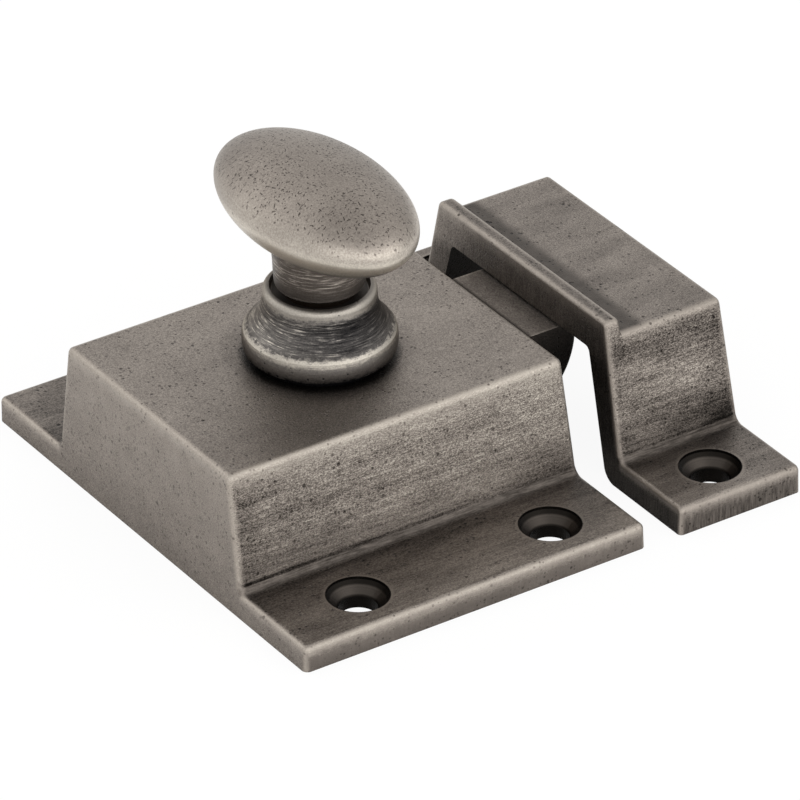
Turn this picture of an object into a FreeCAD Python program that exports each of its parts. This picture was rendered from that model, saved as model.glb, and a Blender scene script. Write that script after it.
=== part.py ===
"""Cupboard catch: a turn latch with an oval knob, a spring bolt and a separate strike.

Millimetres. The origin is the centre of the case's four screw holes, on the mounting plane.
+Z points out of the cupboard door, and +X runs along the bolt, from the case to the strike.
"""

import FreeCAD, Part
import math
import os

# Case: a hat-shaped casting, hollow and open at the back
case_length = 43.2
case_back_x = -22.5
case_span = 60.3
case_height = 16.4
case_flange = 3.0
case_top_width = 31.6
case_foot_width = 35.6
case_back_draft = 0.05
case_front_draft = 1.0
case_side_wall = 2.4
case_end_wall = 2.5
case_top_wall = 2.0
case_top_round = 0.8
case_foot_round = 1.1
case_flange_round = 0.7
case_end_round = 0.7
cavity_round = 0.8

# Mounting screws of the case and of the strike
screw_spacing_x = 24.4
screw_spacing_y = 49.0
screw_hole_radius = 2.1
screw_head_radius = 3.4
screw_head_land = 0.3

# Strike: a narrower hat with a raised lip along the edge that faces the case
strike_gap = 4.2
strike_width = 15.85
strike_span = 60.8
strike_height = 17.2
strike_flange = 3.3
strike_top_width = 32.2
strike_foot_width = 38.4
strike_front_draft = 0.3
strike_back_draft = 0.6
strike_screw_spacing = 50.1
strike_screw_inset = 7.75
strike_end_round = 0.5
lip_height = 1.65
lip_width = 2.3
lip_round = 0.6
window_bar = 2.6
window_top_width = 25.8
window_foot_width = 33.6
window_top_round = 0.8
window_foot_round = 2.0

# Bolt and the slot that it slides in
bolt_width = 14.6
bolt_underside = 4.9
bolt_throw = 6.8
bolt_edge_round = 0.35
nose_radius = 9.4
nose_land = 1.3
slide_clearance = 0.1
yoke_rail_depth = 4.0
yoke_rail_width = 2.0
yoke_front_reach = 10.5
yoke_bar = 3.4
yoke_round = 1.2
ear_length = 3.0
ear_reach = 1.9
guide_rib = 1.5
guide_rib_length = 24.5
guide_rib_gap = 0.15

# Knob, collar and the spindle's bearing
knob_x = -0.6
head_half_x = 8.6
head_half_y = 14.7
head_dome = 5.0
head_under = 5.3
head_centre_z = 34.6
head_offset_x = -0.2
head_offset_y = 0.3
neck_foot_radius = 4.85
neck_waist_radius = 4.95
neck_top_radius = 5.1
neck_flare_radius = 6.3
neck_waist_rise = 1.2
neck_flare_drop = 0.6
neck_chamfer = 0.2
collar_foot_radius = 7.3
collar_foot_height = 0.85
collar_bead_radius = 8.35
collar_bead_height = 2.55
collar_bead_edge = 0.35
collar_bulge = 0.15
collar_bulge_share = 0.45
collar_cove_step = 0.4
collar_cove_hollow = 0.45
collar_rim_wall = 0.95
collar_rim_height = 1.35
collar_rim_taper = 0.05
collar_rim_crown = 0.65
collar_crown_bulge = 0.18
collar_height = 8.3
collar_neck_gap = 0.35
collar_recess_splay = 0.2
collar_recess_depth = 0.7
thrust_washer_radius = 3.9
thrust_washer_thickness = 0.9
running_gap = 0.1
spindle_radius = 2.5
spindle_fit = 0.05
spindle_thread_length = 6.4
spindle_end_gap = 0.4
spindle_flange_radius = 3.6
spindle_flange_thickness = 1.1
bush_radius = 3.2
bush_flange_radius = 3.8
bush_flange_thickness = 0.8
bush_upstand = 1.5
seat_fit = 0.02

# Cam: its working flank is the involute of a circle, so the bolt moves in step with the knob
cam_base_radius = 4.5
cam_start_reach = 4.0
cam_hub_radius = 3.9
cam_thickness = 3.6
cam_rail_gap = 0.4
cam_flank_gap = 0.08
cam_turn = 75.0
cam_run_out = 4.0
cam_flank_steps = 10
cam_tip_round = 0.5
cam_back_angle = -14.0
square_width = 3.5
square_fit = 0.03
square_set_back = 0.05
cam_washer_radius = 3.2
cam_washer_thickness = 0.6
cam_screw_radius = 1.0
cam_screw_length = 4.6
cam_screw_end_gap = 0.4
cam_screw_head_radius = 2.7
cam_screw_head_height = 1.8

# Bolt spring and its two spigots
spring_mean_radius = 2.95
spring_wire_radius = 0.2
spring_turns = 6
spring_seat_gap = 0.05
spigot_radius = 2.1
bolt_spigot_length = 2.0
case_spigot_length = 2.4

# Cover plate and its screws
cover_thickness = 1.2
cover_margin = 0.35
cover_half_width = 13.9
cover_corner = 2.5
cover_hole_margin = 0.9
boss_radius = 2.2
boss_inset_x = 2.8
boss_y = 11.8
cover_screw_radius = 1.0
cover_screw_length = 5.5
cover_screw_end_gap = 0.5
cover_screw_head_radius = 1.9
cover_screw_head_height = 1.1
screw_slot_width = 0.6
screw_slot_depth = 0.5
tapped_hole_fit = 0.04

# How far a cut runs past a face, a fused body sinks into its neighbour, and a search box reaches
run_out = 1.0
sink = 0.5
near = 0.1
floor_skin = 0.01

# Levels and stations that several pieces share
case_front_x = case_back_x + case_length
strike_x = case_front_x + strike_gap
ceiling_z = case_height - case_top_wall
bolt_top = ceiling_z - slide_clearance
rail_underside = bolt_top - yoke_rail_depth
cam_top = rail_underside - cam_rail_gap
cam_bottom = cam_top - cam_thickness
cover_top = bolt_underside - slide_clearance
cover_bottom = cover_top - cover_thickness
cavity_back_x = case_back_x + case_end_wall
cavity_front_x = case_front_x - case_end_wall
bolt_tip_x = case_front_x + bolt_throw
yoke_back_x = knob_x - cam_start_reach - cam_flank_gap
bolt_end_x = yoke_back_x - yoke_bar
yoke_front_x = knob_x + yoke_front_reach
spring_z = (bolt_underside + bolt_top) / 2
collar_top = case_height + collar_height
recess_floor = collar_top - collar_recess_depth
recess_radius = neck_foot_radius + collar_neck_gap
rim_radius = recess_radius + collar_rim_wall
neck_foot_z = recess_floor + thrust_washer_thickness + running_gap
spindle_top = neck_foot_z + spindle_thread_length
bush_underside = ceiling_z - bush_flange_thickness
spindle_flange_top = bush_underside - running_gap
knob_axis = FreeCAD.Vector(knob_x, 0, 0)
up = FreeCAD.Vector(0, 0, 1)


def vec(x, y, z):
    return FreeCAD.Vector(x, y, z)


def across(y, z):
    """A point of a section across the bolt."""
    return vec(0, y, z)


def along(x, z):
    """A point of a section along the bolt."""
    return vec(x, 0, z)


def flat(x, y):
    """A point of an outline seen from above."""
    return vec(x, y, 0)


def outline(corners, place):
    """Face inside straight runs joined by tangent arcs. A corner is (u, v, radius)."""
    points = [place(u, v) for u, v, radius in corners]
    radii = [radius for u, v, radius in corners]
    ends = []
    for i, corner in enumerate(points):
        to_last = (points[i - 1] - corner).normalize()
        to_next = (points[(i + 1) % len(points)] - corner).normalize()
        half = to_last.getAngle(to_next) / 2
        run = radii[i] / math.tan(half)
        inward = (to_last + to_next).normalize()
        middle = corner + inward * (radii[i] / math.sin(half) - radii[i])
        ends.append((corner + to_last * run, middle, corner + to_next * run))
    edges = []
    for i, (start, middle, end) in enumerate(ends):
        if radii[i] > 0:
            edges.append(Part.Arc(start, middle, end).toShape())
        edges.append(Part.makeLine(end, ends[(i + 1) % len(ends)][0]))
    return Part.Face(Part.Wire(edges))


def mirrored(corners):
    """The corners of a symmetric outline, from its right half, listed from bottom to top."""
    return corners + [(-u, v, radius) for u, v, radius in reversed(corners)]


def beside(radius, z):
    """A point of a section at a distance from the knob's axis."""
    return vec(knob_x + radius, 0, z)


def turned(edges):
    """Solid of revolution about the knob's axis, from the edges round half its section."""
    return Part.Face(Part.Wire(edges)).revolve(knob_axis, up, 360)


def runs(points):
    """Straight edges from point to point."""
    return [Part.makeLine(a, b) for a, b in zip(points, points[1:])]


def disc(radius, low, high, x=knob_x, y=0.0):
    return Part.makeCylinder(radius, high - low, vec(x, y, low))


def block(x0, x1, half_y, z0, z1):
    return Part.makeBox(x1 - x0, 2 * half_y, z1 - z0, vec(x0, -half_y, z0))


def edges_within(shape, low, high):
    """Edges that lie wholly between two corners."""
    box = FreeCAD.BoundBox(low, high)
    return [edge for edge in shape.Edges if box.isInside(edge.BoundBox)]


def end_edges(shape, x, draft):
    """Edges round the end face at x, apart from the one on the mounting plane."""
    reach = draft + 2 * near
    low = vec(x - reach, -case_span, floor_skin)
    high = vec(x + reach, case_span, case_span)
    found = edges_within(shape, low, high)
    on_floor = [e for e in shape.Edges if e.BoundBox.ZMin < floor_skin < e.BoundBox.ZMax]
    upright = [e for e in on_floor if abs(e.BoundBox.Center.x - x) < reach]
    return found + [e for e in upright if e.BoundBox.XLength < reach]


def hat(half_span, flange, half_foot, half_top, height, radii):
    """Section of a hat-shaped casting. radii are those of the flange edge, foot and top."""
    edge_round, foot_round, top_round = radii
    right = [
        (half_span, 0, 0),
        (half_span, flange, edge_round),
        (half_foot, flange, foot_round),
        (half_top, height, top_round),
    ]
    return outline(mirrored(right), across)


def drawn(section, x0, x1):
    """A section across the bolt, drawn out from x0 to x1."""
    return section.translated(vec(x0, 0, 0)).extrude(vec(x1 - x0, 0, 0))


def screw_hole(x, y, surface):
    """Countersunk hole with a short straight land above the cone."""
    cone_top = surface - screw_head_land
    cone_depth = screw_head_radius - screw_hole_radius
    cone_foot = vec(x, y, cone_top - cone_depth)
    cone = Part.makeCone(screw_hole_radius, screw_head_radius, cone_depth, cone_foot)
    land = disc(screw_head_radius, cone_top, surface + run_out, x, y)
    return disc(screw_hole_radius, -run_out, surface, x, y).fuse([cone, land])


def corners_of(spacing_x, spacing_y):
    """Centres of a rectangular hole pattern."""
    return [(sx * spacing_x / 2, sy * spacing_y / 2) for sx in (-1, 1) for sy in (-1, 1)]


def boss_places():
    """Centres of the cover plate's four screws."""
    back = cavity_back_x + boss_inset_x
    front = cavity_front_x - boss_inset_x
    return [(x, y) for x in (back, front) for y in (-boss_y, boss_y)]


def case_side(z):
    """Half width of the case's outer slope at a height."""
    lean = (case_foot_width - case_top_width) / 2 / (case_height - case_flange)
    return case_foot_width / 2 - lean * (z - case_flange)


def case_cavity():
    """The hollow of the case, as a solid to cut away."""
    lean = case_side(0) - case_side(1)
    wall = case_side_wall * math.sqrt(1 + lean * lean)
    low = (case_side(-run_out) - wall, -run_out, 0)
    high = (case_side(ceiling_z) - wall, ceiling_z, 0)
    section = outline(mirrored([low, high]), across)
    hollow = drawn(section, cavity_back_x, cavity_front_x)
    rising = [e for e in hollow.Edges if e.BoundBox.ZLength > ceiling_z]
    return hollow.makeFillet(cavity_round, rising)


def case_outside():
    """The case's outer form: a hat section with leaning ends, rounded all over."""
    radii = (case_flange_round, case_foot_round, case_top_round)
    section = hat(
        case_span / 2, case_flange, case_foot_width / 2, case_top_width / 2, case_height, radii
    )
    ends = [
        (case_back_x, 0, 0),
        (case_front_x, 0, 0),
        (case_front_x - case_front_draft, case_height, 0),
        (case_back_x + case_back_draft, case_height, 0),
    ]
    slab = outline(ends, along).translated(vec(0, -case_span, 0))
    solid = drawn(section, case_back_x, case_front_x)
    solid = solid.common(slab.extrude(vec(0, 2 * case_span, 0)))
    chosen = end_edges(solid, case_back_x, case_back_draft)
    chosen += end_edges(solid, case_front_x, case_front_draft)
    return solid.makeFillet(case_end_round, chosen)


def make_case():
    solid = case_outside().cut(case_cavity())
    bosses = [disc(boss_radius, cover_top, ceiling_z + sink, x, y) for x, y in boss_places()]
    rib_inside = bolt_width / 2 + guide_rib_gap
    ribs = block(
        cavity_back_x - sink,
        cavity_back_x + guide_rib_length,
        rib_inside + guide_rib,
        rail_underside,
        ceiling_z + sink,
    )
    ribs = ribs.cut(block(case_back_x, case_front_x, rib_inside, 0, ceiling_z))
    spigot_foot = vec(cavity_back_x - sink, 0, spring_z)
    spigot = Part.makeCylinder(
        spigot_radius, case_spigot_length + sink, spigot_foot, vec(1, 0, 0)
    )
    solid = solid.fuse(bosses + [ribs, spigot])
    slot_half = bolt_width / 2 + slide_clearance
    cuts = [
        block(cavity_front_x - run_out, case_front_x + run_out, slot_half, -run_out, ceiling_z),
        disc(bush_radius + seat_fit, ceiling_z - run_out, case_height + run_out),
    ]
    tapped = cover_screw_radius + tapped_hole_fit
    for x, y in boss_places():
        cuts.append(disc(tapped, cover_top - run_out, cover_top + cover_screw_length, x, y))
    for x, y in corners_of(screw_spacing_x, screw_spacing_y):
        cuts.append(screw_hole(x, y, case_flange))
    return solid.cut(cuts).removeSplitter()


def make_cover_plate():
    """Steel plate that closes the back and carries the bolt."""
    back = cavity_back_x + cover_margin
    front = cavity_front_x - cover_margin
    sheet = [
        (back, -cover_half_width, cover_corner),
        (front, -cover_half_width, cover_corner),
        (front, cover_half_width, cover_corner),
        (back, cover_half_width, cover_corner),
    ]
    plate = outline(sheet, flat).translated(up * cover_bottom).extrude(up * cover_thickness)
    holes = [disc(cam_screw_head_radius + cover_hole_margin, 0, case_height)]
    for x, y in boss_places():
        holes.append(disc(cover_screw_radius + tapped_hole_fit, 0, case_height, x, y))
    return plate.cut(holes)


def slotted_screw(x, y, seat, head, shank):
    """Pan-head screw that points up, its head under seat. head and shank are (radius, length)."""
    head_radius, head_height = head
    top = disc(head_radius, seat - head_height, seat, x, y)
    reach = vec(head_radius + run_out, head_radius + run_out, near)
    bottom = vec(x, y, seat - head_height)
    low_rim = edges_within(top, bottom - reach, bottom + reach)
    top = top.makeFillet(head_height / 2, low_rim)
    slot = Part.makeBox(
        2 * (head_radius + run_out),
        screw_slot_width,
        screw_slot_depth,
        bottom - vec(head_radius + run_out, screw_slot_width / 2, 0),
    )
    return top.fuse(disc(shank[0], seat - sink, seat + shank[1], x, y)).cut(slot)


def make_cover_screws():
    head = (cover_screw_head_radius, cover_screw_head_height)
    reach = cover_thickness + cover_screw_length - cover_screw_end_gap
    shank = (cover_screw_radius, reach)
    places = boss_places()
    return Part.makeCompound([slotted_screw(x, y, cover_bottom, head, shank) for x, y in places])


def make_collar():
    """Turned collar: undercut foot, bead, cove and a rim round a shallow recess."""
    foot_top = case_height + collar_foot_height
    bead_top = foot_top + collar_bead_height
    bulge_z = foot_top + collar_bead_height * collar_bulge_share
    bead_in = collar_bead_radius - collar_bulge
    bead_low = beside(bead_in, foot_top)
    bead_side = beside(collar_bead_radius, bulge_z)
    bead_high = beside(bead_in, bead_top - collar_bead_edge)
    cove_low = beside(collar_bead_radius - collar_cove_step, bead_top)
    cove_high = beside(rim_radius, collar_top - collar_rim_height)
    inward = (cove_high - cove_low).cross(vec(0, 1, 0)).normalize()
    cove_middle = (cove_low + cove_high) / 2 + inward * collar_cove_hollow
    rim_side = beside(rim_radius - collar_rim_taper, collar_top - collar_rim_crown)
    recess_edge = beside(recess_radius + collar_recess_splay, collar_top)
    outward = (rim_side - recess_edge).cross(vec(0, 1, 0)).normalize()
    crown_middle = (rim_side + recess_edge) / 2 + outward * collar_crown_bulge
    bore = spindle_radius + running_gap
    seat = bush_radius + seat_fit
    edges = runs(
        [
            beside(seat, case_height),
            beside(collar_foot_radius, case_height),
            beside(collar_foot_radius, foot_top),
            bead_low,
        ]
    )
    edges.append(Part.Arc(bead_low, bead_side, bead_high).toShape())
    edges.append(Part.makeLine(bead_high, cove_low))
    edges.append(Part.Arc(cove_low, cove_middle, cove_high).toShape())
    edges.append(Part.makeLine(cove_high, rim_side))
    edges.append(Part.Arc(rim_side, crown_middle, recess_edge).toShape())
    edges += runs(
        [
            recess_edge,
            beside(recess_radius, recess_floor),
            beside(bore, recess_floor),
            beside(bore, case_height + bush_upstand),
            beside(seat, case_height + bush_upstand),
            beside(seat, case_height),
        ]
    )
    return turned(edges)


def make_spindle_bush():
    """Flanged bush, pressed up into the case top from inside."""
    bore = spindle_radius + spindle_fit
    top = case_height + bush_upstand - seat_fit
    return turned(
        runs(
            [
                beside(bore, bush_underside),
                beside(bush_flange_radius, bush_underside),
                beside(bush_flange_radius, ceiling_z),
                beside(bush_radius, ceiling_z),
                beside(bush_radius, top),
                beside(bore, top),
                beside(bore, bush_underside),
            ]
        )
    )


def make_thrust_washer():
    ring = disc(thrust_washer_radius, recess_floor, recess_floor + thrust_washer_thickness)
    return ring.cut(disc(spindle_radius + running_gap, 0, head_centre_z))


def oval_head():
    """The knob's head: a dome and a belly that are half ellipses, drawn out across the bolt."""
    dome = Part.Ellipse(vec(0, 0, 0), head_half_x, head_dome)
    belly = Part.Ellipse(vec(0, 0, 0), head_half_x, head_under)
    quarter = math.pi / 2
    curves = [Part.ArcOfEllipse(dome, 0, quarter), Part.ArcOfEllipse(belly, -quarter, 0)]
    edges = [curve.toShape() for curve in curves]
    edges.append(Part.makeLine(vec(0, head_dome, 0), vec(0, -head_under, 0)))
    half = Part.Face(Part.Wire(Part.__sortEdges__(edges)))
    head = half.revolve(vec(0, 0, 0), vec(0, 1, 0), 360)
    head.rotate(vec(0, 0, 0), vec(1, 0, 0), 90)
    stretch = FreeCAD.Matrix()
    stretch.scale(1, head_half_y / head_half_x, 1)
    centre = vec(knob_x + head_offset_x, head_offset_y, head_centre_z)
    return head.transformGeometry(stretch).translated(centre)


def make_knob():
    """Oval head, a little off the middle of its turned neck, with a blind bore for the spindle."""
    neck_end = head_centre_z - head_under / 2
    foot_edge = beside(neck_foot_radius, neck_foot_z + neck_chamfer)
    side = [
        foot_edge,
        beside(neck_waist_radius, neck_foot_z + neck_waist_rise),
        beside(neck_top_radius, head_centre_z - head_under - neck_flare_drop),
        beside(neck_flare_radius, neck_end),
    ]
    swell = Part.BSplineCurve()
    swell.interpolate(side)
    edges = runs(
        [
            side[-1],
            beside(0, neck_end),
            beside(0, neck_foot_z),
            beside(neck_foot_radius - neck_chamfer, neck_foot_z),
            foot_edge,
        ]
    )
    neck = turned([swell.toShape()] + edges)
    bore_end = spindle_top + spindle_end_gap
    bore = disc(spindle_radius + seat_fit, neck_foot_z - run_out, bore_end)
    return oval_head().fuse(neck).cut(bore)


def make_spindle():
    """Round spindle with a flange under the bush and a square end for the cam."""
    square_foot = cam_bottom + square_set_back
    rod = disc(spindle_radius, cam_top, spindle_top)
    ring = disc(
        spindle_flange_radius, spindle_flange_top - spindle_flange_thickness, spindle_flange_top
    )
    half = square_width / 2
    square = Part.makeBox(
        square_width, square_width, cam_top - square_foot, vec(knob_x - half, -half, square_foot)
    )
    hole_end = cam_bottom + cam_screw_length + cam_screw_end_gap
    tapped = disc(cam_screw_radius + tapped_hole_fit, square_foot - run_out, hole_end)
    return rod.fuse([ring, square]).cut(tapped)


def flank_point(degrees):
    """Point of the cam's flank that meets the bolt when the knob has turned so far."""
    turn = math.radians(degrees)
    reach = cam_start_reach + cam_base_radius * turn
    x = -reach * math.cos(turn) + cam_base_radius * math.sin(turn)
    y = -reach * math.sin(turn) - cam_base_radius * math.cos(turn)
    return vec(knob_x + x, y, 0)


def make_cam():
    """Claw cam: involute working flank, round hub and a straight back."""
    first = -cam_run_out
    last = cam_turn + cam_run_out
    step = (last - first) / cam_flank_steps
    flank = Part.BSplineCurve()
    flank.interpolate([flank_point(first + step * i) for i in range(cam_flank_steps + 1)])
    hub_left = vec(knob_x - cam_hub_radius, 0, 0)
    hub_far = vec(knob_x, cam_hub_radius, 0)
    back = math.radians(cam_back_angle)
    hub_right = knob_axis + vec(math.cos(back), math.sin(back), 0) * cam_hub_radius
    edges = [
        flank.toShape(),
        Part.makeLine(flank_point(last), hub_right),
        Part.Arc(hub_right, hub_far, hub_left).toShape(),
        Part.makeLine(hub_left, flank_point(first)),
    ]
    solid = Part.Face(Part.Wire(edges)).translated(up * cam_bottom).extrude(up * cam_thickness)
    tip = flank_point(last)
    reach = vec(near, near, 0)
    corner = edges_within(solid, tip - reach, tip + reach + up * case_height)
    solid = solid.makeFillet(cam_tip_round, corner)
    half = square_width / 2 + square_fit
    hole = Part.makeBox(2 * half, 2 * half, case_height, vec(knob_x - half, -half, 0))
    return solid.cut(hole)


def make_cam_washer():
    ring = disc(cam_washer_radius, cam_bottom - cam_washer_thickness, cam_bottom)
    return ring.cut(disc(cam_screw_radius + tapped_hole_fit, 0, case_height))


def make_cam_screw():
    seat = cam_bottom - cam_washer_thickness
    head = (cam_screw_head_radius, cam_screw_head_height)
    shank = (cam_screw_radius, cam_washer_thickness + cam_screw_length)
    return slotted_screw(knob_x, 0, seat, head, shank)


def make_latch_bolt():
    """Bolt with a quarter-round nose, an open yoke round the spindle and two stop ears."""
    half = bolt_width / 2
    arc_x = bolt_tip_x - nose_radius
    arc_z = bolt_top - nose_land
    drop = arc_z - bolt_underside
    foot = vec(arc_x + math.sqrt(nose_radius**2 - drop**2), 0, bolt_underside)
    slant = math.atan2(drop, foot.x - arc_x) / 2
    middle = vec(arc_x + nose_radius * math.cos(slant), 0, arc_z - nose_radius * math.sin(slant))
    tip = vec(bolt_tip_x, 0, arc_z)
    corners = [
        tip,
        vec(bolt_tip_x, 0, bolt_top),
        vec(bolt_end_x, 0, bolt_top),
        vec(bolt_end_x, 0, bolt_underside),
        foot,
    ]
    edges = [Part.makeLine(a, b) for a, b in zip(corners, corners[1:])]
    edges.append(Part.Arc(foot, middle, tip).toShape())
    profile = Part.Face(Part.Wire(edges)).translated(vec(0, -half, 0))
    solid = profile.extrude(vec(0, bolt_width, 0))
    nose_edges = [e for e in solid.Edges if e.BoundBox.XMin > foot.x - near]
    solid = solid.makeFillet(bolt_edge_round, nose_edges)
    swing = block(yoke_back_x, yoke_front_x, half + run_out, 0, rail_underside)
    rail_inside = half - yoke_rail_width
    window = block(yoke_back_x, yoke_front_x, rail_inside, 0, case_height)
    upright = [e for e in window.Edges if e.BoundBox.ZLength > bolt_top]
    window = window.makeFillet(yoke_round, [e for e in upright if e.BoundBox.XMin > knob_x])
    stop_x = cavity_front_x - slide_clearance
    ears = block(stop_x - ear_length, stop_x, half + ear_reach, rail_underside, bolt_top)
    spigot = Part.makeCylinder(
        spigot_radius, bolt_spigot_length, vec(bolt_end_x, 0, spring_z), vec(-1, 0, 0)
    )
    return solid.cut([swing, window]).fuse([ears, spigot])


def make_bolt_spring():
    """Compression spring between the case's end wall and the bolt, coiled of leaning half turns."""
    low = cavity_back_x + spring_seat_gap + spring_wire_radius
    high = bolt_end_x - spring_seat_gap - spring_wire_radius
    advance = (high - low) / (2 * spring_turns)
    halves = []
    for i in range(2 * spring_turns):
        side = 1 if i % 2 == 0 else -1
        start = vec(low + advance * i, 0, spring_z + side * spring_mean_radius)
        end = vec(low + advance * (i + 1), 0, spring_z - side * spring_mean_radius)
        wire = Part.makeCircle(spring_wire_radius, start, vec(0, 1, 0))
        axis = vec(0, side, 0).cross(end - start)
        halves.append(Part.Face(Part.Wire(wire)).revolve((start + end) / 2, axis, 180))
    return halves[0].fuse(halves[1:]).removeSplitter()


def strike_outside():
    """The strike's outer form, with its lip, ends and edges rounded."""
    radii = (case_flange_round, case_foot_round, case_top_round)
    half_span = strike_span / 2
    half_foot = strike_foot_width / 2
    half_top = strike_top_width / 2
    lean = (half_foot - half_top) / (strike_height - strike_flange)
    lip_z = strike_height + lip_height
    far_x = strike_x + strike_width
    low = hat(half_span, strike_flange, half_foot, half_top, strike_height, radii)
    high = hat(half_span, strike_flange, half_foot, half_top - lean * lip_height, lip_z, radii)
    lip = drawn(high, strike_x, strike_x + lip_width)
    lip_back = end_edges(lip, strike_x + lip_width, 0)
    lip = lip.makeFillet(lip_round, [e for e in lip_back if e.BoundBox.XLength < near])
    front_in = strike_front_draft * lip_z / strike_height
    slab = [
        (strike_x, 0, 0),
        (far_x, 0, 0),
        (far_x - strike_back_draft, strike_height, 0),
        (far_x - strike_back_draft, lip_z, 0),
        (strike_x + front_in, lip_z, 0),
    ]
    body = drawn(low, strike_x, far_x).fuse(lip)
    keep = outline(slab, along).translated(vec(0, -strike_span, 0))
    body = body.common(keep.extrude(vec(0, 2 * strike_span, 0))).removeSplitter()
    chosen = end_edges(body, strike_x, front_in) + end_edges(body, far_x, strike_back_draft)
    return body.makeFillet(strike_end_round, chosen)


def make_strike():
    window_z = strike_height - window_bar
    half_foot = window_foot_width / 2
    opening = [
        (half_foot + 2 * window_foot_round, -floor_skin, 0),
        (half_foot, 0, window_foot_round),
        (window_top_width / 2, window_z, window_top_round),
    ]
    tunnel = outline(mirrored(opening), across)
    far_x = strike_x + strike_width
    solid = strike_outside().cut(drawn(tunnel, strike_x - run_out, far_x + run_out))
    hole_x = strike_x + strike_screw_inset
    hole_y = strike_screw_spacing / 2
    holes = [screw_hole(hole_x, side * hole_y, strike_flange) for side in (-1, 1)]
    return solid.cut(holes)


def save(name, shape):
    """Writes one piece to its own file."""
    shape.exportStep("parts/" + name + ".step")


def main():
    os.makedirs("parts", exist_ok=True)
    save("case", make_case())
    save("cover_plate", make_cover_plate())
    save("cover_screws", make_cover_screws())
    save("collar", make_collar())
    save("spindle_bush", make_spindle_bush())
    save("thrust_washer", make_thrust_washer())
    save("knob", make_knob())
    save("spindle", make_spindle())
    save("cam", make_cam())
    save("cam_washer", make_cam_washer())
    save("cam_screw", make_cam_screw())
    save("latch_bolt", make_latch_bolt())
    save("bolt_spring", make_bolt_spring())
    save("strike", make_strike())


main()
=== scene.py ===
import math

import bpy
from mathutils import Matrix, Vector


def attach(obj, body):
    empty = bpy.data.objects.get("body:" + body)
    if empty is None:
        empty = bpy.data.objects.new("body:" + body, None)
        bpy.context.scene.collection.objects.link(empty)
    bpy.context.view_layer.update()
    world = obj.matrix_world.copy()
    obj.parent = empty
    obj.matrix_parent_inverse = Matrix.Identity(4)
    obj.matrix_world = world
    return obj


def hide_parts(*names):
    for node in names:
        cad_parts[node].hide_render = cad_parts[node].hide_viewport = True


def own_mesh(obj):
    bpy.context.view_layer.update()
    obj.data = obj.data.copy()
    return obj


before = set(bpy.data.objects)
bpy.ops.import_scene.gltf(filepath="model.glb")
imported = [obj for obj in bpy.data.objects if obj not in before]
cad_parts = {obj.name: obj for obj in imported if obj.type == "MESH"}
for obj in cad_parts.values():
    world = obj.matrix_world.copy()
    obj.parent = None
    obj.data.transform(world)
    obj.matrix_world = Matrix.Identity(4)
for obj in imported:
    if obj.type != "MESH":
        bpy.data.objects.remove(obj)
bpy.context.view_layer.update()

MM = 0.001

# Sizes that the finishes follow, in millimetres. The slope of a casting runs from half_top
# at its top to half_foot at its flange, and its ends lean in by their drafts over the height.
# The holes lie at these half spacings round hole_x. The rub on the long edges follows edge_fade
# down from the top. The spring's wire is given by its radius.
CASE = dict(
    flange=3.0, half_top=15.8, half_foot=17.8, draft_back=0.05, draft_front=1.0,
    holes=(12.2, 24.5), hole_x=0.0, lip=0.0,
    edge_fade=[(0.0, 0.8), (0.2, 1.0), (0.9, 0.85), (1.7, 0.4), (3.4, 0.0)],
)
STRIKE = dict(
    flange=3.3, half_top=16.1, half_foot=19.2, draft_back=0.3, draft_front=0.6,
    holes=(0.0, 25.05), hole_x=32.65, lip=1.65, lip_x=27.2,
    edge_fade=[(0.0, 0.8), (0.2, 1.0), (0.6, 0.75), (1.0, 0.3), (1.7, 0.0)],
)
KNOB_X = -0.6
SCREW_HEAD_RADIUS = 3.4
SCREW_BORE_RADIUS = 2.1
BOLT_HALF_WIDTH = 7.3
SPRING = dict(low=-19.75, high=-8.33, z=9.6, radius=2.95, wire=0.2, turns=6)

# Heights of the bump on cast and turned pieces, and on machined ones, in metres
CAST_RELIEF = 0.03 * MM
FINE_RELIEF = 0.01 * MM

# The photograph's camera: its place in metres, its direction, its lens and sensor in millimetres
CAMERA_PLACE = (-0.38616, -0.58579, 0.44110)
CAMERA_AIM = (0.4770, 0.7060, -0.5235)
CAMERA_LENS = 347.8
CAMERA_SENSOR = 36

# Even light all round, and broad lights on top of it. Each stands at a turn round the object
# and a height over the ground. It is full up to inner and gone at outer, all in degrees.
EVEN_LIGHT = 0.75
LIGHTS = [
    dict(turn=-140, height=14, inner=15, outer=50, power=0.9),
    dict(turn=-78, height=16, inner=15, outer=50, power=1.2),
    dict(turn=125, height=36, inner=12, outer=45, power=0.7),
    dict(turn=-40, height=50, inner=15, outer=45, power=0.5),
    dict(turn=56, height=34, inner=12, outer=45, power=0.35),
]


def span(node, axis):
    """Least and greatest place of a piece along an axis, in millimetres."""
    places = [corner[axis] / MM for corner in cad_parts[node].bound_box]
    return min(places), max(places)


# The outer sizes of the castings are those of the pieces themselves
for node, form in (("case", CASE), ("strike", STRIKE)):
    form["back"], form["front"] = span(node, 0)
    form["half_span"] = span(node, 1)[1]
    form["height"] = span(node, 2)[1] - form["lip"]


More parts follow.
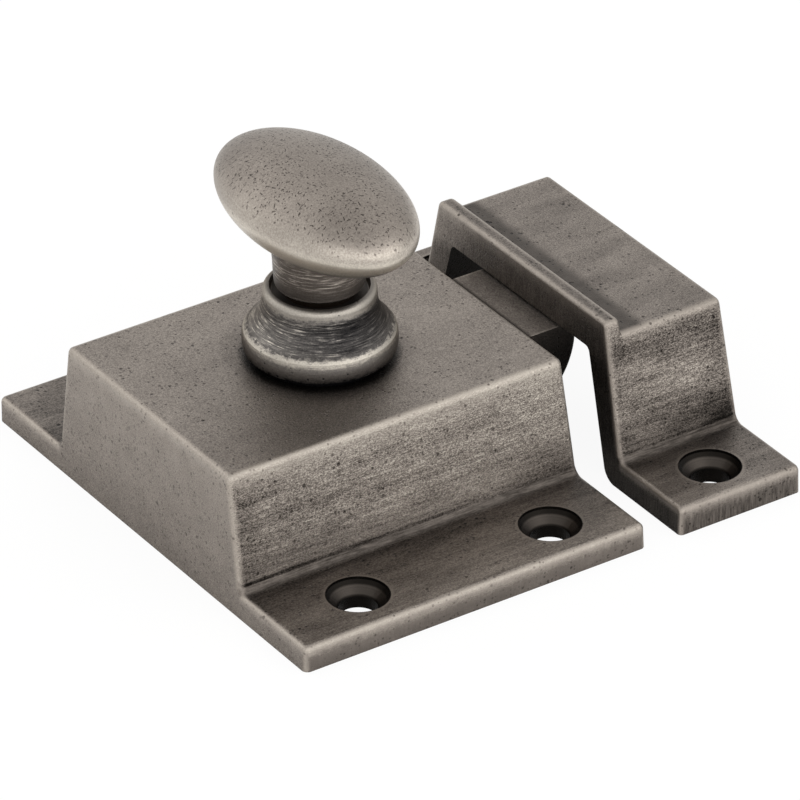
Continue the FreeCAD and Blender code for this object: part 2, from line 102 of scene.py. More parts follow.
class Graph:
    """Short calls for one material's nodes. A value is a number, a tuple or a socket."""

    def __init__(self, owner):
        self.owner = owner
        owner.use_nodes = True
        self.nodes = owner.node_tree.nodes
        self.links = owner.node_tree.links
        self.nodes.clear()

    def put(self, socket, value):
        if isinstance(value, bpy.types.NodeSocket):
            self.links.new(value, socket)
        else:
            socket.default_value = value

    def node(self, kind, values=(), **settings):
        made = self.nodes.new(kind)
        for name, value in settings.items():
            setattr(made, name, value)
        for key, value in dict(values).items():
            self.put(made.inputs[key], value)
        return made

    def math(self, operation, *values):
        made = self.node("ShaderNodeMath", operation=operation)
        for i, value in enumerate(values):
            self.put(made.inputs[i], value)
        return made.outputs[0]

    def chain(self, operation, values):
        """One operation over any number of values."""
        total = values[0]
        for value in values[1:]:
            total = self.math(operation, total, value)
        return total

    def add(self, *values):
        return self.chain("ADD", values)

    def mul(self, *values):
        return self.chain("MULTIPLY", values)

    def most(self, *values):
        return self.chain("MAXIMUM", values)

    def sub(self, a, b):
        return self.math("SUBTRACT", a, b)

    def size(self, a):
        return self.math("ABSOLUTE", a)

    def distance(self, a, b):
        """How long the step (a, b) is."""
        return self.math("SQRT", self.add(self.mul(a, a), self.mul(b, b)))

    def rise(self, value, low, high):
        """0 under low, 1 over high, smooth between them."""
        made = self.node("ShaderNodeMapRange", interpolation_type="SMOOTHSTEP", clamp=True)
        self.put(made.inputs["Value"], value)
        self.put(made.inputs["From Min"], low)
        self.put(made.inputs["From Max"], high)
        return made.outputs[0]

    def fall(self, value, low, high):
        """1 under low, 0 over high, smooth between them."""
        return self.sub(1.0, self.rise(value, low, high))

    def near(self, a, b, low, high):
        """1 where two planes meet, from the distances a and b to them."""
        return self.fall(self.most(self.size(a), self.size(b)), low, high)

    def vary(self, value, amount):
        """A noise value turned into a change round zero."""
        return self.mul(self.sub(value, 0.5), amount)

    def mix(self, share, a, b):
        """Number between a and b."""
        made = self.node("ShaderNodeMix", data_type="FLOAT")
        self.put(made.inputs[0], share)
        self.put(made.inputs[2], a)
        self.put(made.inputs[3], b)
        return made.outputs[0]

    def tint(self, share, a, b):
        """Colour between a and b."""
        made = self.node("ShaderNodeMix", data_type="RGBA")
        self.put(made.inputs[0], share)
        self.put(made.inputs[6], a)
        self.put(made.inputs[7], b)
        return made.outputs[2]

    def point(self):
        """The shaded point, in millimetres."""
        made = self.node("ShaderNodeVectorMath", operation="SCALE")
        self.put(made.inputs[0], self.node("ShaderNodeTexCoord").outputs["Object"])
        self.put(made.inputs["Scale"], 1 / MM)
        return made.outputs[0]

    def facing(self):
        """The surface's normal."""
        return self.node("ShaderNodeTexCoord").outputs["Normal"]

    def parts(self, vector):
        """The three parts of a vector."""
        return list(self.node("ShaderNodeSeparateXYZ", {0: vector}).outputs)

    def channels(self, colour):
        """The three parts of a colour."""
        return list(self.node("ShaderNodeSeparateColor", {0: colour}).outputs)

    def vector(self, x, y, z):
        return self.node("ShaderNodeCombineXYZ", {0: x, 1: y, 2: z}).outputs[0]

    def vector_math(self, operation, a, b, output="Vector"):
        made = self.node("ShaderNodeVectorMath", operation=operation)
        self.put(made.inputs[0], a)
        self.put(made.inputs[1], b)
        return made.outputs[output]

    def stretched(self, point, factors):
        return self.vector_math("MULTIPLY", point, factors)

    def noise(self, point, scale, detail=2.0, rough=0.5, factors=None):
        """Noise, drawn out along the axes whose factor is under 1."""
        if factors:
            point = self.stretched(point, factors)
        values = {"Vector": point, "Scale": scale, "Detail": detail, "Roughness": rough}
        return self.node("ShaderNodeTexNoise", values).outputs[0]

    def crisp(self, noise, spread=0.2):
        """Noise that reaches 0 and 1 at spread from its middle."""
        return self.rise(noise, 0.5 - spread, 0.5 + spread)

    def pits(self, point, scale, share, radius):
        """1 inside small round pits: a share of the cells has one, with radii up to radius."""
        cells = self.node("ShaderNodeTexVoronoi", {"Vector": point, "Scale": scale})
        chance = self.channels(cells.outputs["Color"])[0]
        reach = self.mul(self.rise(chance, 1 - share, 1 - 0.3 * share), radius * scale)
        # A cell without a pit has a reach of 0, and its edge a hair more
        edge = self.add(reach, 0.0001)
        return self.fall(cells.outputs["Distance"], self.mul(reach, 0.5), edge)

    def dashes(self, point, cell, share, half_long, half_wide):
        """1 inside short nicks at odd angles, seen from above: a share of the cells has one."""
        cells = self.node("ShaderNodeTexVoronoi", {"Vector": point, "Scale": 1 / cell})
        cells.voronoi_dimensions = "2D"
        chance, angle, length = self.channels(cells.outputs["Color"])
        step = self.vector_math("SUBTRACT", point, cells.outputs["Position"])
        dx, dy = self.parts(step)[:2]
        turn = self.mul(angle, math.pi)
        cosine = self.math("COSINE", turn)
        sine = self.math("SINE", turn)
        along = self.size(self.add(self.mul(dx, cosine), self.mul(dy, sine)))
        across = self.size(self.sub(self.mul(dy, cosine), self.mul(dx, sine)))
        reach = self.mul(self.add(length, 0.25), half_long)
        return self.mul(
            self.fall(along, self.mul(reach, 0.6), reach),
            self.fall(across, half_wide * 0.4, half_wide),
            self.rise(chance, 1 - share, 1.02 - share),
        )

    def ramp(self, value, stops):
        """Colour that follows a value between stops of (value, colour)."""
        made = self.node("ShaderNodeValToRGB", {0: value})
        elements = made.color_ramp.elements
        while len(elements) < len(stops):
            elements.new(0.5)
        for element, (place, colour) in zip(elements, stops):
            element.position = place
            element.color = (*colour, 1)
        return made.outputs[0]

    def profile(self, value, stops):
        """Number that follows straight runs between stops of (value, number)."""
        low, high = stops[0][0], stops[-1][0]
        least = min(number for place, number in stops)
        share = self.math("DIVIDE", self.sub(value, low), high - low)
        places = [((place - low) / (high - low), (number - least,) * 3) for place, number in stops]
        return self.add(self.ramp(share, places), least)

    def metal(self, colour, roughness, height, relief=CAST_RELIEF, **constants):
        """Metal with a bump of relief metres for a height of 1."""
        bump = self.node("ShaderNodeBump", {"Height": height, "Distance": relief, "Strength": 1.0})
        values = {
            "Base Color": colour,
            "Roughness": roughness,
            "Normal": bump.outputs[0],
            "Metallic": 1.0,
            **constants,
        }
        shader = self.node("ShaderNodeBsdfPrincipled", values)
        self.node("ShaderNodeOutputMaterial", {0: shader.outputs[0]})
        return self.owner


# Tones of antique pewter, from dark patina to rubbed metal, for cast pieces and for the collar
PEWTER = [
    (0.0, (0.008, 0.007, 0.006)),
    (0.25, (0.060, 0.052, 0.046)),
    (0.5, (0.180, 0.158, 0.141)),
    (0.75, (0.345, 0.310, 0.275)),
    (1.0, (0.620, 0.575, 0.505)),
]
COLLAR_PEWTER = [
    (0.0, (0.006, 0.006, 0.007)),
    (0.25, (0.052, 0.049, 0.048)),
    (0.5, (0.165, 0.154, 0.145)),
    (0.75, (0.350, 0.325, 0.290)),
    (1.0, (0.680, 0.635, 0.550)),
]

# Tones of the two castings: numbers, and profiles over a place in millimetres. top, slope,
# flange, side, end and back are the surfaces. The case's ring is a painted shadow round its collar.
NO_CHANGE = [(0.0, 0.0), (1.0, 0.0)]
CASE_TONES = dict(
    top=0.57, top_grain=0.3, top_clouds=0.12,
    # ring: painted contact shadow on the top round the collar's foot, fading outwards
    ring=[(7.3, 0.52), (8.2, 0.38), (8.9, 0.1), (11.0, 0.0)],
    slope=0.6, slope_grain=0.48, slope_clouds=0.4, slope_back=0.08,
    slope_along=[(-22.5, -0.07), (-8.0, 0.0), (20.7, 0.06)],
    # slope_up darkens the slope low down: painted shade towards its foot
    slope_up=[(3.0, -0.12), (4.6, -0.06), (7.0, 0.0), (16.4, 0.0)],
    # flange darkens from the outer edge in towards the slope: painted shade
    flange=[(0.0, 0.52), (3.0, 0.47), (8.0, 0.42), (11.0, 0.31), (12.4, 0.27)],
    flange_along=[(-22.5, 0.03), (-8.0, 0.01), (20.7, 0.14)],
    # side, end and back grow lighter upwards: painted shade towards the floor
    side=[(0.0, 0.44), (3.0, 0.52)], side_marks=0.04,
    end=[(0.0, 0.52), (16.4, 0.57)],
    back=[(0.0, 0.54), (6.0, 0.59), (16.4, 0.64)], back_marks=0.0,
    back_across=NO_CHANGE,
    fillet=0.29, edge=0.85, edge_share=0.85, pits=0.3,
    inside=[(-22.5, 0.3), (20.7, 0.3)],
)
STRIKE_TONES = dict(
    top=0.51, top_grain=0.32, top_clouds=0.3,
    ring=NO_CHANGE,
    slope=0.485, slope_grain=0.46, slope_clouds=0.6, slope_back=0.0,
    slope_along=[(24.9, 0.0), (31.0, 0.03), (36.0, 0.0), (40.75, -0.1)],
    # slope_up: painted shade low down towards the foot; the dip below the top is dark streaking
    slope_up=[
        (3.3, -0.14), (5.5, -0.1), (9.0, 0.03), (12.0, 0.02), (14.5, -0.1), (16.4, -0.1),
        (17.2, -0.04),
    ],
    # flange: painted shade, darker from the outer edge in towards the slope
    flange=[(0.0, 0.52), (3.0, 0.47), (8.0, 0.42), (10.0, 0.35), (11.2, 0.29)],
    flange_along=[(24.9, 0.02), (33.0, 0.01), (40.75, -0.05)],
    # side and end grow lighter upwards: painted shade towards the floor
    side=[(0.0, 0.36), (2.4, 0.34), (3.3, 0.46)], side_marks=0.18,
    end=[(0.0, 0.4), (17.2, 0.46)],
    # back: painted shade of the case on the strike's ends that face it, darkest below the case's
    # top
    back=[(0.0, 0.18), (3.0, 0.24), (4.2, 0.16), (13.2, 0.2), (14.8, 0.36), (18.8, 0.4)],
    back_marks=0.1,
    # back_across: painted light on the far leg, painted shade on the near one
    back_across=[(-16.0, -0.07), (-8.0, 0.0), (6.0, 0.02), (13.0, 0.16), (16.0, 0.2)],
    fillet=0.26, edge=0.8, edge_share=0.8, pits=0.3,
    # inside: painted shade, near black in the strike's window
    inside=[(24.9, 0.03), (32.0, 0.03), (39.0, 0.28)],
)


def axis_radius(g, x, y):
    """How far a point lies from the knob's axis, in millimetres."""
    return g.distance(g.sub(x, KNOB_X), y)


class Casting:
    """Finish of a hat-shaped casting. Its tones run from 0, dark, to 1, bright."""

    def __init__(self, name, form, tones):
        g = Graph(bpy.data.materials.new(name))
        self.g = g
        self.form = form
        self.tones = tones
        self.point = g.point()
        self.x, self.y, self.z = g.parts(self.point)
        self.nx, self.ny, self.nz = g.parts(g.facing())
        self.set_distances()
        self.set_noises()
        self.set_places()

    def set_distances(self):
        """How far a point lies inside each outer plane, above the slope's foot and from the axis
        of a screw hole.
        """
        g, form = self.g, self.form
        height, flange = form["height"], form["flange"]
        self.from_middle = g.size(self.y)
        self.under_top = g.sub(height, self.z)
        if form["lip"]:
            on_lip = g.fall(self.x, form["lip_x"], form["lip_x"] + 0.04)
            self.under_top = g.add(self.under_top, g.mul(on_lip, form["lip"]))
        self.under_flange = g.sub(flange, self.z)
        up, out = height - flange, form["half_foot"] - form["half_top"]
        length = math.hypot(up, out)
        self.under_slope = g.sub(
            g.mul(g.sub(form["half_foot"], self.from_middle), up / length),
            g.mul(g.sub(self.z, flange), out / length),
        )
        self.over_foot = g.sub(g.sub(self.z, flange), g.size(self.under_slope))
        self.from_end = g.sub(form["half_span"], self.from_middle)
        back = g.add(form["back"], g.mul(self.z, form["draft_back"] / height))
        self.from_back = g.sub(self.x, back)
        front = g.sub(form["front"], g.mul(self.z, form["draft_front"] / height))
        self.from_front = g.sub(front, self.x)
        hole_x, hole_y = form["holes"]
        self.from_hole = g.distance(
            g.sub(g.size(g.sub(self.x, form["hole_x"])), hole_x),
            g.sub(self.from_middle, hole_y),
        )

    def set_noises(self):
        """Clouds and patches over several millimetres, fine grain, and brush marks."""
        g, point = self.g, self.point
        self.mottle = g.noise(point, 0.16, 2.0, 0.5)
        self.clouds = g.noise(point, 0.42, 3.0, 0.6, (0.35, 1.0, 1.0))
        self.patchy = g.noise(point, 0.7, 3.0, 0.6)
        self.grain = g.crisp(g.noise(point, 8.5, 3.0, 0.75, (0.55, 1.0, 1.0)), 0.14)
        self.speckle = g.crisp(g.noise(point, 6.5, 3.0, 0.75))
        self.streaks = g.noise(point, 2.6, 5.0, 0.75, (0.05, 1.0, 1.0))
        self.brushed = g.crisp(g.noise(point, 7.0, 3.0, 0.7, (0.09, 1.0, 1.0)))
        self.upright = g.crisp(g.noise(point, 4.0, 3.0, 0.7, (1.0, 1.0, 0.1)))
        self.wear = g.add(g.vary(self.patchy, 0.7), g.vary(self.grain, 0.3))

    def set_places(self):
        """1 on the surface that each value is named for, 0 elsewhere."""
        g, form = self.g, self.form
        flange, foot = form["flange"], form["half_foot"]
        self.flat = g.rise(self.nz, 0.75, 0.92)
        self.leaning = g.rise(g.size(self.ny), 0.6, 0.85)
        self.ends = g.rise(g.size(self.nx), 0.8, 0.99)
        self.side = g.mul(self.leaning, g.fall(self.from_end, 0.4, 0.9))
        self.on_flange = g.mul(self.flat, g.fall(self.z, flange + 0.2, flange + 0.8))
        self.outside = g.mul(
            g.rise(self.from_middle, foot - 3.0, foot - 2.0), g.sub(1.0, self.ends)
        )
        self.fillet = g.mul(self.outside, g.fall(g.size(self.over_foot), 0.4, 0.95))
        self.hole = g.fall(self.from_hole, SCREW_HEAD_RADIUS + 0.01, SCREW_HEAD_RADIUS + 0.06)

    def top_tone(self):
        """Speckled and mottled, with a painted shadow round the collar."""
        g, tones = self.g, self.tones
        tone = g.add(
            tones["top"],
            g.vary(self.speckle, tones["top_grain"]),
            g.vary(self.mottle, 0.16),
            g.vary(self.clouds, tones["top_clouds"]),
        )
        # Painted contact shadow of the collar on the top
        tone = g.sub(tone, g.profile(axis_radius(g, self.x, self.y), tones["ring"]))
        if self.form["lip"]:
            tone = self.lip_tone(tone)
        return tone

    def lip_tone(self, tone):
        """A dark band on the top behind the lip, and a streaked crest."""
        g, x, z = self.g, self.x, self.z
        height, lip_x = self.form["height"], self.form["lip_x"]
        behind = g.mul(
            g.rise(x, lip_x - 0.2, lip_x),
            g.fall(x, lip_x + 2.2, lip_x + 3.7),
            g.fall(z, height + 0.4, height + 0.7),
        )
        tone = g.mix(behind, tone, g.add(0.28, g.vary(self.patchy, 0.15)))
        crest = g.mul(
            g.rise(z, height + 0.8, height + 1.2),
            g.fall(g.size(g.sub(x, lip_x - 1.0)), 0.1, 0.7),
        )
        return g.sub(tone, g.mul(crest, g.add(0.1, g.vary(self.clouds, 0.5))))

    def slope_tone(self):
        """Brushed along the length, with painted shade low down and most at the front."""
        g, tones, flange = self.g, self.tones, self.form["flange"]
        grain = g.vary(self.grain, tones["slope_grain"])
        tone = g.add(
            tones["slope"],
            g.mul(grain, g.profile(self.z, [(3.0, 0.5), (8.0, 1.0)])),
            g.vary(self.streaks, 0.7),
            g.vary(self.brushed, 0.16),
            g.vary(self.clouds, tones["slope_clouds"]),
            g.profile(self.z, tones["slope_up"]),
            g.profile(self.x, tones["slope_along"]),
        )
        tone = g.sub(tone, g.mul(g.fall(self.from_back, 0.8, 4.0), tones["slope_back"]))
        # Painted shade low on the slope towards the front end
        low = g.fall(self.z, flange + 1.2, flange + 6.0)
        return g.sub(tone, g.mul(g.fall(self.from_front, 1.0, 11.0), low, 0.22))

    def flange_tone(self):
        """Brushed along the length, with painted shade darker towards the slope."""
        g, tones = self.g, self.tones
        return g.add(
            g.profile(self.from_end, tones["flange"]),
            g.vary(self.grain, 0.26),
            g.vary(self.streaks, 0.4),
            g.vary(self.clouds, 0.45),
            g.profile(self.x, tones["flange_along"]),
            g.profile(self.y, [(-1.0, 0.0), (1.0, -0.06)]),
        )

    def side_tone(self):
        """The flange's outer edge face, with upright marks and painted shade towards the floor."""
        g, tones = self.g, self.tones
        return g.add(
            g.profile(self.z, tones["side"]),
            g.vary(self.upright, tones["side_marks"]),
            g.vary(self.clouds, 0.2),
        )

    def end_tone(self):
        """The speckled end that faces +X, with painted shade towards the floor."""
        g = self.g
        return g.add(
            g.profile(self.z, self.tones["end"]),
            g.vary(self.speckle, 0.24),
            g.vary(self.clouds, 0.12),
        )

    def back_tone(self):
        """The speckled end that faces -X, with painted shade towards the floor; on the strike,
        painted shade from the case and painted light on its far leg.
        """
        g, tones = self.g, self.tones
        return g.add(
            g.profile(self.z, tones["back"]),
            g.profile(self.y, tones["back_across"]),
            g.vary(self.upright, tones["back_marks"]),
            g.vary(self.clouds, 0.16),
            g.vary(self.speckle, 0.24),
        )

    def foot_lines(self, tone):
        """Painted shade where slope and flange meet: a dark line, with a lighter one on its fillet.
        """
        g = self.g
        # Painted shade: the fillet is dimmer than the slope
        lit = g.add(
            self.tones["fillet"],
            g.vary(self.patchy, 0.3),
            g.vary(self.streaks, 0.5),
            g.vary(self.brushed, 0.14),
        )
        tone = g.mix(g.mul(self.fillet, 0.82), tone, lit)
        # Painted shade: a dark line along the top of the fillet
        crease_shade = g.mul(
            self.outside,
            g.fall(g.size(g.sub(self.over_foot, 0.85)), 0.06, 0.34),
            g.profile(self.x, [(-12.0, 1.0), (-6.0, 1.0), (8.0, 0.4), (20.0, 0.3)]),
        )
        return g.sub(tone, g.mul(crease_shade, g.add(0.3, g.vary(self.patchy, 0.3))))

    def inside_tone(self, tone):
        """The inner walls and the ceiling have a tone of their own: plain grey in the case, painted
        shade near black in the strike's window.
        """
        g = self.g
        inner = g.most(
            g.mul(self.leaning, g.rise(self.under_slope, 0.9, 1.4)),
            g.rise(g.mul(self.nz, -1.0), 0.4, 0.7),
        )
        return g.mix(inner, tone, g.profile(self.x, self.tones["inside"]))

    def at_ends(self, low, high):
        """1 at the back and at the front."""
        g = self.g
        return g.most(g.fall(self.from_back, low, high), g.fall(self.from_front, low, high))

    def at_corners(self, plane, low, high):
        """1 where a plane meets the back or the front."""
        g = self.g
        return g.most(
            g.near(plane, self.from_back, low, high), g.near(plane, self.from_front, low, high)
        )

    def rubbed(self):
        """How far each edge is rubbed bright."""
        g, form = self.g, self.form
        flange, foot = form["flange"], form["half_foot"]
        worn = g.add(1.0, self.wear)
        down = g.math("DIVIDE", self.under_top, worn)
        top_sides = g.mul(g.fall(self.under_slope, 0.3, 0.8), g.profile(down, form["edge_fade"]))
        top_ends = g.mul(
            self.at_ends(0.2, 0.7),
            g.profile(down, [(0.0, 0.8), (0.2, 1.0), (0.7, 0.6), (1.7, 0.0)]),
        )
        corners = g.mul(
            g.rise(self.z, flange, flange + 0.8), self.at_corners(self.under_slope, 0.2, 0.95)
        )
        below = g.math("DIVIDE", self.under_flange, worn)
        flange_sides = g.mul(
            g.fall(self.from_end, 0.2, 0.75),
            g.profile(below, [(0.0, 0.6), (0.25, 1.0), (0.8, 0.75), (1.5, 0.1), (2.0, 0.0)]),
        )
        flange_ends = g.mul(
            self.at_ends(0.15, 0.6),
            g.profile(below, [(0.0, 0.7), (0.2, 0.9), (0.7, 0.5), (1.2, 0.0)]),
        )
        flange_corners = g.mul(self.at_corners(self.from_end, 0.1, 0.75), 0.85)
        on_flange = g.mul(
            g.rise(self.from_middle, foot - 0.5, foot + 0.3),
            g.most(flange_sides, flange_ends, flange_corners),
        )
        edges = g.most(top_sides, g.mul(top_ends, 0.85), g.mul(corners, 0.75), on_flange)
        if form["lip"]:
            ahead = g.sub(form["lip_x"], self.x)
            lip = g.mul(g.rise(ahead, -0.05, 0.0), g.fall(ahead, 0.35, 0.9))
            edges = g.most(edges, g.mul(lip, g.fall(self.under_top, 0.1, 0.5), 0.8))
        return edges

    def countersinks(self, tone):
        """Turned cones with a bright rim, and painted shade near black at their top and where they
        narrow.
        """
        g, radius = self.g, self.from_hole
        rings = g.noise(g.vector(g.mul(radius, 6.0), 0.0, 0.0), 1.0, 2.0, 0.6)
        cone = g.add(0.22, g.vary(rings, 0.2))
        # Painted shade, near black, on the hole's top wall and in the bore
        painted_top_shade = g.rise(self.z, self.form["flange"] - 0.78, self.form["flange"] - 0.6)
        bore = g.fall(radius, SCREW_BORE_RADIUS + 0.05, SCREW_BORE_RADIUS + 0.25)
        tone = g.mix(self.hole, tone, g.mix(g.most(painted_top_shade, bore), cone, 0.02))
        rim = g.mul(
            g.rise(radius, SCREW_HEAD_RADIUS + 0.02, SCREW_HEAD_RADIUS + 0.1),
            g.fall(radius, SCREW_HEAD_RADIUS + 0.15, SCREW_HEAD_RADIUS + 0.5),
            g.rise(self.z, 1.5, 2.5),
        )
        return g.mix(g.mul(rim, 0.8), tone, 0.6)

    def pits(self):
        """Pits of three sizes, in loose groups, fewer on the ends and sides."""
        g, point = self.g, self.point
        large = g.pits(g.stretched(point, (1.0, 1.1, 0.9)), 0.45, 0.4, 0.26)
        middling = g.mul(g.pits(point, 1.25, 0.5, 0.22), 0.8)
        small = g.mul(g.pits(point, 2.1, 0.6, 0.17), 0.6)
        groups = g.rise(g.noise(point, 0.28, 3.0, 0.6), 0.4, 0.58)
        return g.mul(
            g.most(small, middling, large),
            g.sub(1.0, self.hole),
            g.add(0.9, g.vary(self.grain, 0.8)),
            g.mix(groups, 0.6, 1.35),
            g.mix(g.most(self.ends, self.side), 1.0, 0.65),
            g.sub(1.0, g.mul(self.fillet, 0.85)),
        )

    def material(self):
        g, tones = self.g, self.tones
        tone = g.mix(self.leaning, self.top_tone(), self.slope_tone())
        tone = g.mix(self.side, tone, self.side_tone())
        tone = g.mix(self.on_flange, tone, self.flange_tone())
        ends = g.mix(g.rise(self.nx, -0.3, 0.3), self.back_tone(), self.end_tone())
        tone = g.mix(self.ends, tone, ends)
        tone = self.inside_tone(self.foot_lines(tone))
        bright = g.add(tones["edge"], g.mul(self.wear, 0.2))
        tone = g.mix(g.mul(self.rubbed(), tones["edge_share"]), tone, bright)
        tone = self.countersinks(tone)
        pits = self.pits()
        tone = g.sub(tone, g.mul(pits, tones["pits"]))
        dull = g.mix(self.flat, g.sub(0.6, g.mul(tone, 0.2)), 0.42)
        height = g.add(
            g.mul(self.grain, self.leaning, 0.5),
            g.mul(self.speckle, 0.3),
            g.mul(pits, -1.6),
            g.mul(self.patchy, 0.6),
        )
        return g.metal(g.ramp(tone, PEWTER), g.mix(self.hole, dull, 0.3), height)


def start(name):
    """A new material's graph, its point with the three parts, and how far it faces up."""
    g = Graph(bpy.data.materials.new(name))
    point = g.point()
    return g, point, g.parts(point), g.parts(g.facing())[2]


def turning_marks(g, x, y, z, radius):
    """Noise drawn out round the knob's axis."""
    level = g.sub(z, g.mul(radius, 0.8))
    return g.noise(g.vector(g.mul(x, 0.07), g.mul(y, 0.07), level), 5.5, 4.0, 0.75)


def collar_finish():
    """Turned collar: bright rim and bead, a dark cove with broken bright marks, a painted shadow on
    the foot, and painted shade round the neck and in the recess.
    """
    g, point, (x, y, z), nz = start("collar_pewter")
    radius = axis_radius(g, x, y)
    marks = turning_marks(g, x, y, z, radius)
    ragged = g.noise(point, 2.2, 3.0, 0.7, (0.7, 0.7, 1.2))
    fine = g.noise(point, 6.0, 3.0, 0.7)
    level = g.add(z, g.vary(ragged, 1.2), g.vary(marks, 0.6))
    # The first stops paint the foot under the bead near black: a painted shadow
    up_collar = [
        (16.4, 0.0), (17.2, 0.02), (17.4, 0.28), (18.1, 0.46), (18.9, 0.54), (19.3, 0.8),
        (19.7, 0.8), (20.0, 0.34), (21.0, 0.26), (22.8, 0.22), (23.3, 0.36), (23.7, 0.7),
        (24.5, 0.75), (24.9, 0.7),
    ]
    tone = g.add(g.profile(level, up_collar), g.vary(fine, 0.3))

    cove = g.mul(g.rise(z, 19.9, 20.3), g.fall(z, 23.1, 23.5))
    # The marks change from left to right, as the photograph shows the collar
    sideways = g.sub(g.mul(g.sub(x, KNOB_X), 0.83), g.mul(y, 0.56))
    broken = g.mul(
        g.rise(marks, 0.5, 0.68),
        g.mix(g.fall(sideways, 1.0, 4.5), 0.25, 1.0),
        g.rise(g.noise(point, 1.1, 3.0, 0.7), 0.35, 0.6),
        0.45,
    )
    # The cove is lighter to the left and darker to the right: partly rubbed wear, partly painted
    # reflection
    across = g.profile(
        sideways, [(-8.0, 0.24), (-3.0, 0.12), (0.0, -0.04), (3.5, -0.13), (8.0, 0.08)]
    )
    tone = g.add(tone, g.mul(cove, g.add(broken, g.vary(marks, 0.9), across)))

    # Painted shade: a dimmer ring on the rim round the neck, and a darker recess floor under the
    # neck
    painted_neck_shade = g.fall(g.add(radius, g.vary(fine, 0.2)), 5.6, 5.95)
    tone = g.mix(g.mul(painted_neck_shade, g.rise(z, 23.9, 24.3)), tone, 0.55)
    recess = g.fall(radius, 5.0, 5.3)
    tone = g.mix(g.mul(recess, g.rise(nz, 0.3, 0.8)), tone, 0.3)

    pits = g.mul(g.pits(point, 1.5, 0.3, 0.14), 0.7, g.sub(1.0, cove))
    low_pits = g.pits(g.stretched(point, (1.1, 1.1, 1.0)), 1.9, 0.6, 0.17)
    pits = g.most(pits, g.mul(low_pits, g.fall(z, 18.3, 19.0)))
    tone = g.sub(tone, g.mul(pits, 0.4))
    roughness = g.sub(0.52, g.mul(tone, 0.15))
    height = g.add(g.mul(marks, 0.7), g.mul(fine, 0.4), g.mul(pits, -1.2))
    dim = {"Specular Tint": (0.5, 0.47, 0.44, 1)}
    return g.metal(g.ramp(tone, COLLAR_PEWTER), roughness, height, **dim)


def knob_finish():
    """Head with many small dark nicks, a painted highlight on its sides towards -Y and painted
    shade underneath, and a dark neck with bright turning marks.
    """
    g, point, (x, y, z), nz = start("knob_pewter")
    radius = axis_radius(g, x, y)
    marks = turning_marks(g, x, y, z, radius)
    fine = g.noise(point, 5.0, 3.0, 0.7)
    mottle = g.noise(point, 0.25, 2.0, 0.5)

    nicks = g.most(
        g.dashes(point, 0.8, 0.55, 0.24, 0.08),
        g.dashes(g.stretched(point, (1.0, 1.03, 1.0)), 0.5, 0.55, 0.15, 0.07),
        g.mul(g.pits(point, 2.2, 0.5, 0.12), 0.6),
    )
    nicks = g.mul(nicks, g.rise(g.noise(point, 0.3, 2.0, 0.5), 0.25, 0.5), g.rise(nz, 0.2, 0.6))
    pits = g.pits(point, 1.2, 0.3, 0.15)
    # lit paints a highlight on the head's sloping sides and belly, strongest towards -Y
    lit = g.profile(y, [(-14.7, 1.0), (0.0, 0.95), (6.0, 0.6), (14.7, 0.15)])
    head = g.add(
        0.59,
        g.vary(g.crisp(fine), 0.16),
        g.vary(mottle, 0.14),
        g.mul(lit, g.fall(nz, 0.35, 0.96), 0.21),
        g.mul(lit, g.fall(nz, -0.3, 0.15), 0.2),
        g.mul(nicks, -0.34),
        g.mul(pits, -0.25),
    )
    # Painted shade on the head's underside
    head = g.mix(g.fall(nz, -0.9, -0.6), head, 0.3)

    up_neck = [
        (25.0, 0.6), (25.12, 0.8), (25.22, 0.35), (25.5, 0.24), (26.5, 0.26), (27.5, 0.3),
        (29.5, 0.34), (31.0, 0.25),
    ]
    share = g.profile(z, [(25.0, 0.0), (26.2, 0.1), (27.0, 0.55), (30.0, 0.5), (31.0, 0.2)])
    rings = g.mul(g.rise(marks, 0.47, 0.68), share)
    neck = g.add(0.03, g.profile(z, up_neck), rings, g.vary(fine, 0.15))
    on_neck = g.mul(g.fall(radius, 6.0, 7.0), g.fall(z, 31.0, 32.5))
    tone = g.mix(on_neck, head, neck)
    roughness = g.sub(0.52, g.mul(tone, 0.16))
    height = g.add(
        g.mul(marks, on_neck, 0.8), g.mul(fine, 0.25), g.mul(nicks, -0.8), g.mul(pits, -1.0)
    )
    return g.metal(g.ramp(tone, PEWTER), roughness, height)


def bolt_finish():
    """Speckled on top, with painted shade near black on the sides and nose and a painted shadow
    where it leaves the case.
    """
    g, point, (x, y, z), nz = start("bolt_pewter")
    top = span("latch_bolt", 2)[1]
    speckle = g.crisp(g.noise(point, 5.5, 3.0, 0.75))
    clouds = g.noise(point, 0.5, 3.0, 0.6)
    edge = g.near(g.sub(g.size(y), BOLT_HALF_WIDTH), g.sub(z, top), 0.05, 0.4)
    tone = g.add(0.5, g.vary(speckle, 0.26), g.vary(clouds, 0.2), g.mul(edge, 0.2))
    # Painted shade on the sides and nose, lighter towards the top
    dark = g.add(g.profile(z, [(6.0, 0.05), (11.0, 0.07), (top, 0.24)]), g.vary(speckle, 0.1))
    tone = g.mix(g.fall(nz, 0.1, 0.55), tone, dark)
    pits = g.pits(point, 1.7, 0.5, 0.15)
    tone = g.sub(tone, g.mul(pits, 0.22))
    # Painted shadow of the case on the bolt where it leaves the case
    painted_case_shadow = g.fall(x, CASE["front"] + 0.6, CASE["front"] + 1.2)
    tone = g.mix(g.mul(painted_case_shadow, 0.8), tone, 0.05)
    height = g.add(g.mul(speckle, 0.4), g.mul(pits, -1.4))
    return g.metal(g.ramp(tone, PEWTER), 0.5, height)


